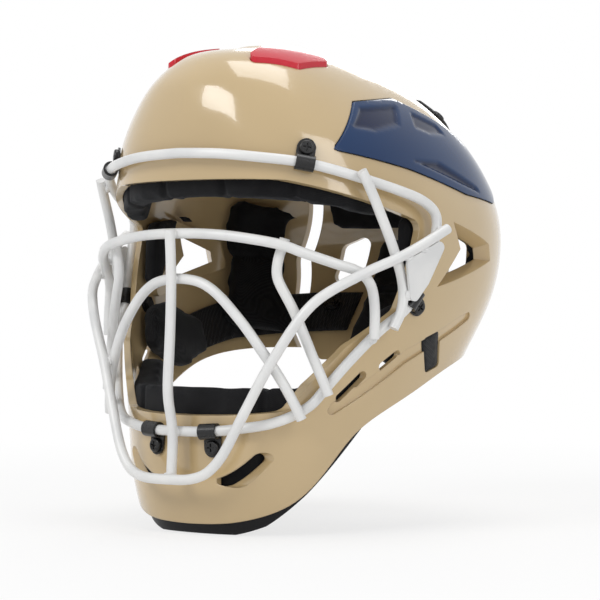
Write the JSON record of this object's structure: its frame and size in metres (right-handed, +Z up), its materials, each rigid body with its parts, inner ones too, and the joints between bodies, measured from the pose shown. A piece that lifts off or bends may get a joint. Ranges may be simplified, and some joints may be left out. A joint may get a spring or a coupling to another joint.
{
  "type": "baseball catcher helmet",
  "caption": "Hockey-style catcher helmet: lacquered hard shell, clipped wire face cage, padded lining and a back plate held by elastic straps.",
  "frame": {"origin": "centre of the head cavity, on the middle plane and level with the ears", "axes": "+Z up as worn, -Y the way the wearer faces, +X the wearer's left"},
  "size_m": [0.2508, 0.263, 0.2884],
  "materials": {
    "shell_lacquer": "gloss tan-gold lacquer",
    "panel_lacquer": "gloss navy lacquer",
    "cap_lacquer": "gloss scarlet lacquer",
    "cage_coating": "white powder coat on steel wire",
    "clip_plastic": "satin black",
    "black_steel": "black oxide steel",
    "skirt_rubber": "satin black rubber",
    "strap_webbing": "black elastic webbing",
    "pad_cloth": "black brushed cloth over foam"
  },
  "bodies": {
    "helmet": {"arch_wire": "cage_coating", "brow_pad": "pad_cloth", "chin_pad": "pad_cloth", "chin_skirt": "skirt_rubber", "clip_nuts": "black_steel", "clip_screws": "black_steel", "crown_pad": "pad_cloth", "eye_wire": "cage_coating", "guard_wire": "cage_coating", "knob_nuts": "black_steel", "knob_screws": "black_steel", "left_brow_clip": "clip_plastic", "left_chin_clip": "clip_plastic", "left_crown_cap": "cap_lacquer", "left_ear_pad": "pad_cloth", "left_inner_bar": "cage_coating", "left_jaw_pad": "pad_cloth", "left_outer_bar": "cage_coating", "left_side_clip": "clip_plastic", "left_side_plate": "cage_coating", "left_side_strap": "strap_webbing", "left_temple_pad": "pad_cloth", "left_upper_strap": "strap_webbing", "left_vent_panel": "panel_lacquer", "main_shell": "shell_lacquer", "middle_wire": "cage_coating", "right_brow_clip": "clip_plastic", "right_chin_clip": "clip_plastic", "right_crown_cap": "cap_lacquer", "right_ear_pad": "pad_cloth", "right_inner_bar": "cage_coating", "right_jaw_pad": "pad_cloth", "right_outer_bar": "cage_coating", "right_side_clip": "clip_plastic", "right_side_plate": "cage_coating", "right_side_strap": "strap_webbing", "right_temple_pad": "pad_cloth", "right_upper_strap": "strap_webbing", "right_vent_panel": "panel_lacquer", "rim_wire": "cage_coating"},
    "rear_plate": {"back_plate": "shell_lacquer", "nape_pad": "pad_cloth", "plate_top_pad": "pad_cloth", "plate_screws": "black_steel", "plate_nuts": "black_steel"}
  },
  "joints": [
    {"name": "rear_plate_hinge", "type": "hinge", "parent": "helmet", "child": "rear_plate", "pos_m": [0, 0.095, 0.078], "axis": [1, 0, 0], "range_deg": [0, 15], "stiffness_Nm_per_rad": 1.2, "springref_deg": -6.88, "deforming": ["left_side_strap", "left_upper_strap", "right_side_strap", "right_upper_strap"]}
  ]
}
